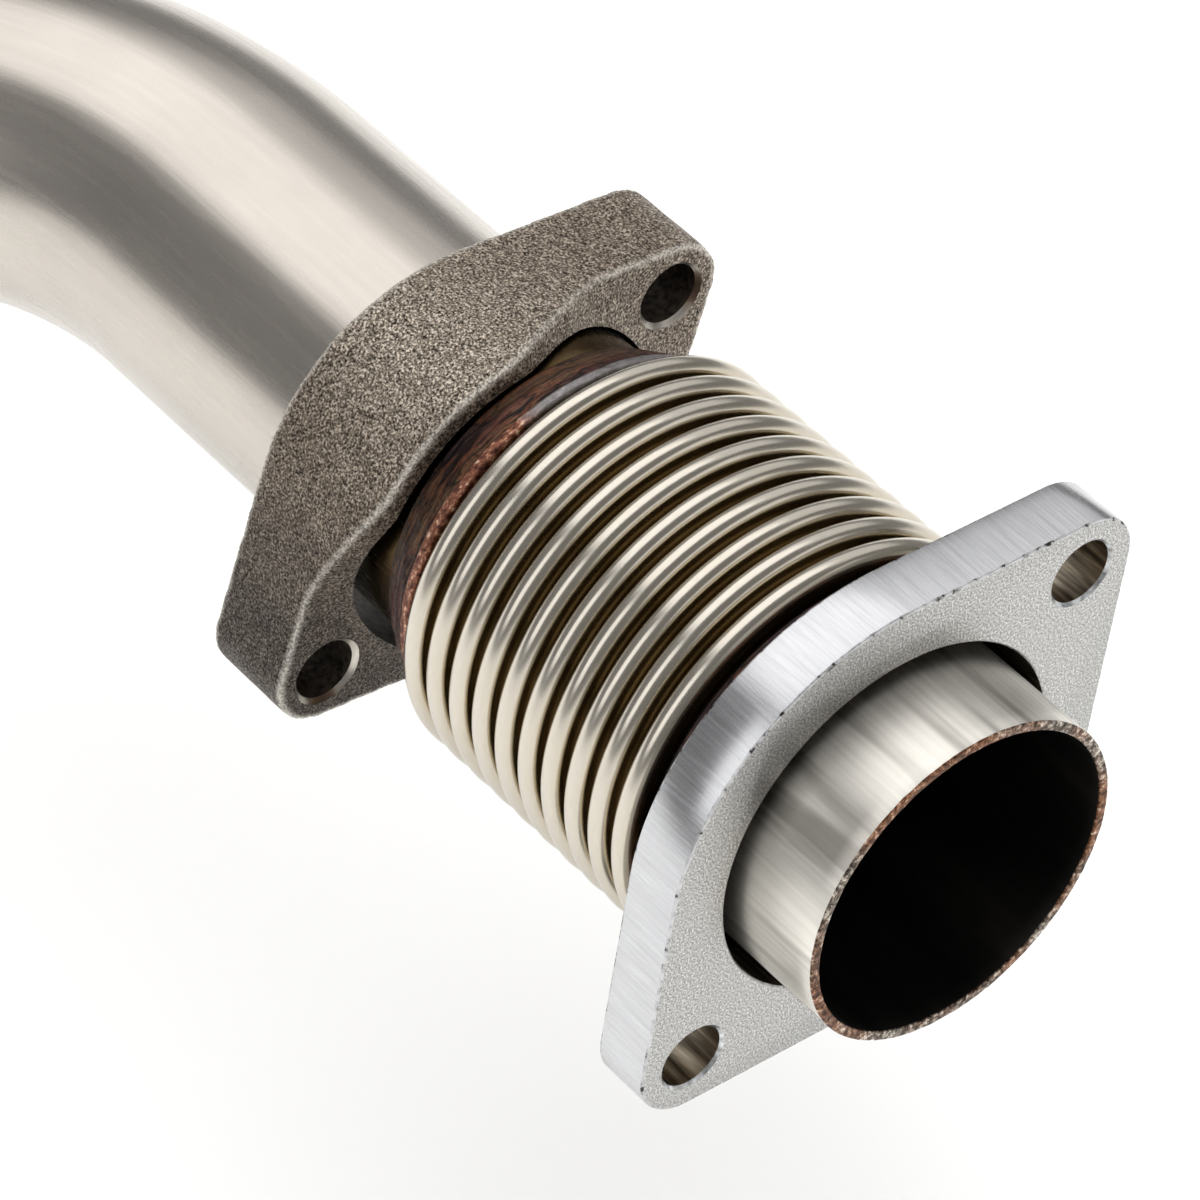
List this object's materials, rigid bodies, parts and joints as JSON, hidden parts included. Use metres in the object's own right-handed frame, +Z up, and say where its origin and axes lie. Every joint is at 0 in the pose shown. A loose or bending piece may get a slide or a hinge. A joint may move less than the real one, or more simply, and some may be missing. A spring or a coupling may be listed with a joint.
{
  "type": "metal bellows expansion joint",
  "caption": "Flexible exhaust pipe end: bent steel tube, loose cast flange, corrugated steel bellows, two-bolt plate flange and slip liner.",
  "frame": {"origin": "centre of the outlet flange's front face, on the bellows axis", "axes": "+X out of the outlet flange along the bellows axis; +Z up; the tube's bend leaves towards -Y and a little down"},
  "size_m": [0.2647, 0.1043, 0.077],
  "materials": {
    "satin_stainless": "polished to a satin",
    "mill_stainless": "mill finish with lengthwise streaks",
    "bellows_sheet": "formed sheet, heat tinted",
    "plated_steel": "zinc plated, machined",
    "sand_cast_iron": "as cast, coarse grain",
    "scaled_steel": "heat scale and light rust",
    "weld_bead": "as welded, heat tinted"
  },
  "bodies": {
    "outlet": {"outlet_flange": "plated_steel", "outlet_collar": "scaled_steel", "outlet_weld": "weld_bead"},
    "inner_ply": {"bellows_inner_ply": "bellows_sheet"},
    "outer_ply": {"bellows_outer_ply": "bellows_sheet"},
    "pipe": {"slip_liner": "mill_stainless", "seam_weld": "weld_bead", "bent_tube": "satin_stainless", "inlet_collar": "scaled_steel", "inlet_weld": "weld_bead"},
    "loose_flange": {"cast_flange": "sand_cast_iron"}
  },
  "joints": [
    {"name": "bellows_swing", "type": "hinge", "parent": "outlet", "child": "inner_ply", "pos_m": [-0.03864, 0, 0], "axis": [0, 0, 1], "range_deg": [-2, 2], "stiffness_Nm_per_rad": 60, "deforming": ["bellows_inner_ply"]},
    {"name": "bellows_tilt", "type": "hinge", "parent": "inner_ply", "child": "outer_ply", "pos_m": [-0.03864, 0, 0], "axis": [0, 1, 0], "range_deg": [-2, 2], "stiffness_Nm_per_rad": 60, "deforming": ["bellows_outer_ply"]},
    {"name": "bellows_stretch", "type": "slide", "parent": "outer_ply", "child": "pipe", "axis": [-1, 0, 0], "range_m": [-0.006, 0.005], "stiffness_N_per_m": 30000},
    {"name": "flange_swivel", "type": "hinge", "parent": "pipe", "child": "loose_flange", "pos_m": [-0.08464, -0.00095, -0.00056], "axis": [1, 0, 0], "continuous": true}
  ]
}
